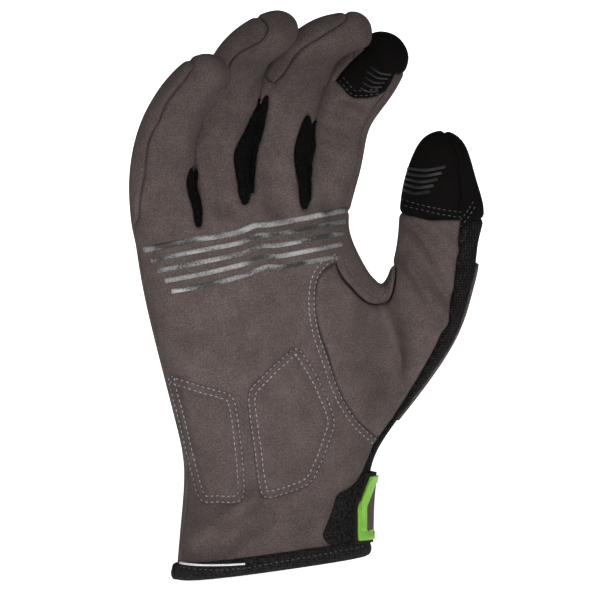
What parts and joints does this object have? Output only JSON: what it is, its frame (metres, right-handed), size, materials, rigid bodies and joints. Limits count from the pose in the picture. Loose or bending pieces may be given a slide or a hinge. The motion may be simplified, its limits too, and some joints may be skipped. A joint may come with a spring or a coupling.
{
  "type": "impact glove",
  "caption": "Right-hand glove with a suede-like palm, mesh side walls, stitched heel pads, silicone grip lines and a wrist tab, holding the form of a relaxed hand",
  "frame": {"origin": "centre of the wrist opening", "axes": "+Z towards the fingers, palm towards -Y, thumb on the +X side"},
  "size_m": [0.1457, 0.0913, 0.2379],
  "materials": {
    "suede": "grey-brown synthetic suede with a short nap",
    "black_suede": "black synthetic suede",
    "mesh": "black knitted mesh",
    "binding": "black ribbed binding tape",
    "loop_pile": "black loop pile",
    "silicone": "glossy clear-dark silicone print",
    "green_rubber": "lime-green moulded rubber, satin",
    "thread": "light grey sewing thread"
  },
  "bodies": {
    "root": {"palm_panel": "suede", "thumb_panel": "suede", "back_panel": "suede", "little_back": "suede", "ring_back": "suede", "middle_back": "suede", "index_back": "suede", "ulnar_heel_pad": "suede", "thenar_heel_pad": "suede", "tab_inlay": "suede", "thumb_back_overlay": "suede", "fourchette_little_ring": "mesh", "fourchette_ring_middle": "mesh", "fourchette_middle_index": "mesh", "thumb_gusset": "mesh", "thumb_tip": "black_suede", "thumb_tip_back": "black_suede", "index_tip": "black_suede", "closure_tab": "black_suede", "cuff_binding": "binding", "loop_patch": "loop_pile", "tab_trim": "green_rubber", "grip_stripe_1": "silicone", "grip_stripe_2": "silicone", "grip_stripe_3": "silicone", "grip_stripe_4": "silicone", "grip_stripe_5": "silicone", "index_grip_1": "silicone", "index_grip_2": "silicone", "index_grip_3": "silicone", "index_grip_4": "silicone", "index_grip_5": "silicone", "thumb_grip_1": "silicone", "thumb_grip_2": "silicone", "thumb_grip_3": "silicone", "thumb_grip_4": "silicone", "thumb_grip_5": "silicone"}
  },
  "joints": []
}
